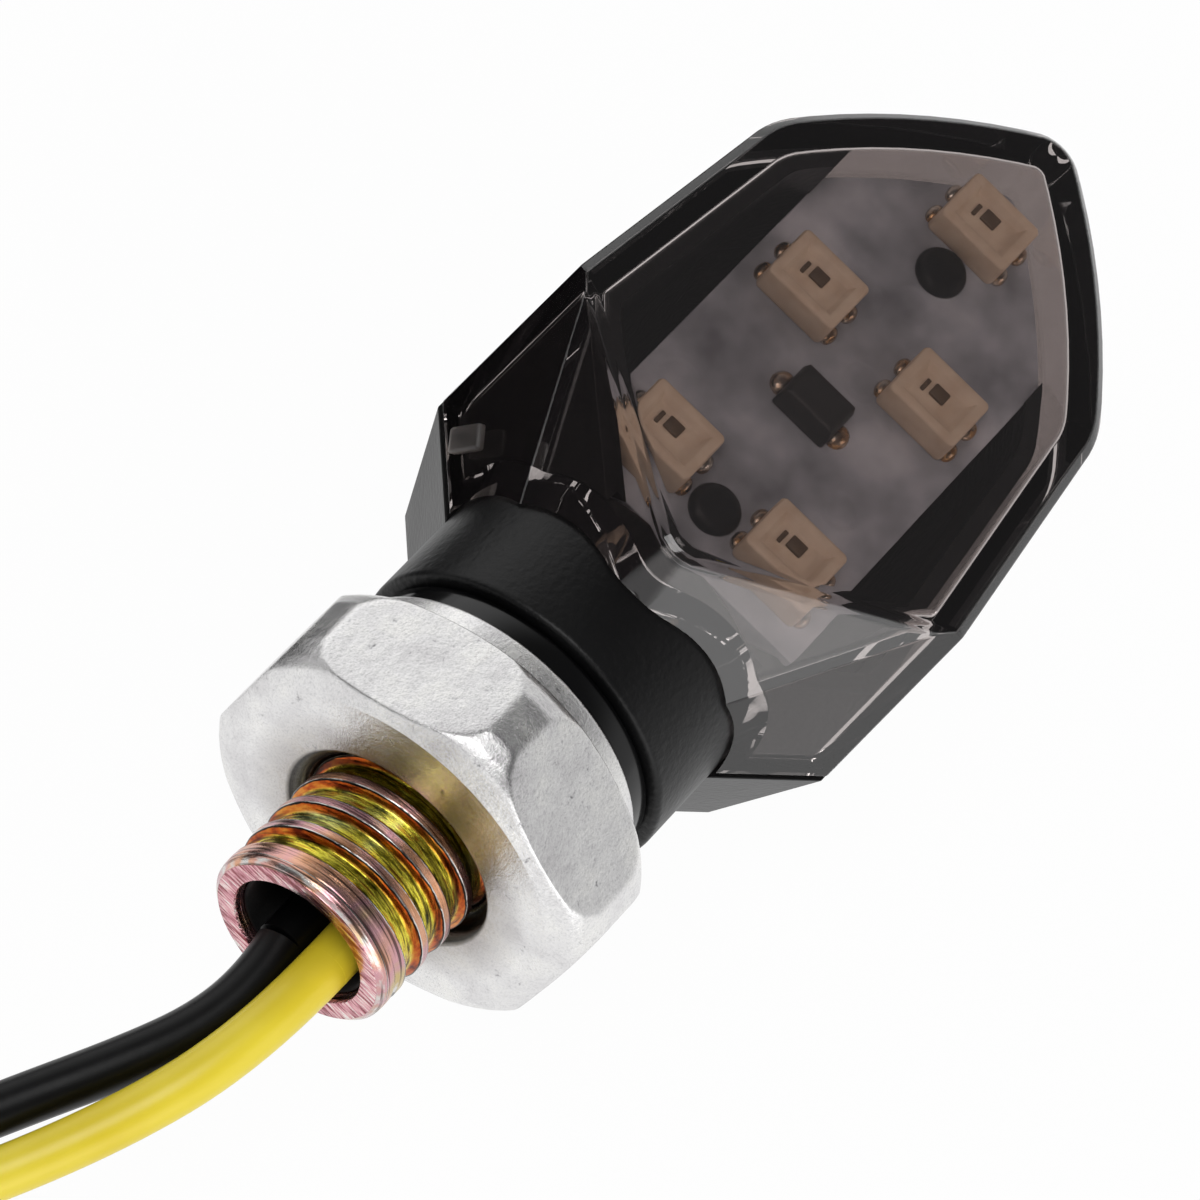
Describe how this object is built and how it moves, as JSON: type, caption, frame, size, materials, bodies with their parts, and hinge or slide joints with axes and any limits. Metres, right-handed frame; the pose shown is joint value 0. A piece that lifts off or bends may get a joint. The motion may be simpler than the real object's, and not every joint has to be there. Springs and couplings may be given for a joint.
{
  "type": "motorcycle turn signal indicator",
  "caption": "Small motorcycle turn signal: smoked arrowhead lens over a row of LEDs, black housing on a short hollow threaded stud with hexagon nut and washer, and free wires.",
  "frame": {"origin": "middle of the lamp's footprint on the surface that it lies on, back down", "axes": "+X from the stud towards the lamp's tip, +Z the way the lens faces, +Y across"},
  "size_m": [0.1004, 0.0289, 0.0186],
  "materials": {
    "housing_plastic": "fine-grained black moulded ABS",
    "smoked_lens": "clear smoked polycarbonate, polished",
    "seal_rubber": "black sealing bead",
    "board_laminate": "grey solder mask on glass-epoxy board",
    "led_body": "pale amber silicone dish in a moulded cup",
    "chip_epoxy": "black moulded epoxy",
    "stud_steel": "steel with yellow and pink zinc chromate",
    "zinc_plate": "bright zinc-plated steel",
    "yellow_insulation": "yellow PVC insulation",
    "black_insulation": "black PVC insulation",
    "solder": "bright solder"
  },
  "bodies": {
    "lamp": {"rear_housing": "housing_plastic", "lens": "smoked_lens", "lens_seal": "seal_rubber", "circuit_board": "board_laminate", "led_near_left": "led_body", "led_near_right": "led_body", "led_middle_left": "led_body", "led_middle_right": "led_body", "led_tip": "led_body", "diode": "chip_epoxy", "resistor_left": "chip_epoxy", "resistor_right": "chip_epoxy", "hollow_stud": "stud_steel", "wire_seal": "seal_rubber", "yellow_lead": "yellow_insulation", "black_lead": "black_insulation", "yellow_solder_joint": "solder", "black_solder_joint": "solder", "yellow_wire": "yellow_insulation", "black_wire": "black_insulation", "yellow_coil": "yellow_insulation", "black_coil": "black_insulation"},
    "washer": {"washer": "zinc_plate"},
    "nut": {"hex_nut": "zinc_plate"}
  },
  "joints": [
    {"name": "nut_travel", "type": "slide", "parent": "lamp", "child": "washer", "axis": [-1, 0, 0], "range_m": [0, 0.0053]},
    {"name": "nut_spin", "type": "hinge", "parent": "washer", "child": "nut", "pos_m": [-0.01448, 0, 0.00924], "axis": [-1, 0, 0], "range_deg": [0, 1354]}
  ],
  "couplings": [
    {"joint": "nut_spin", "follows": "nut_travel", "rad_per_m": 4456.2}
  ]
}
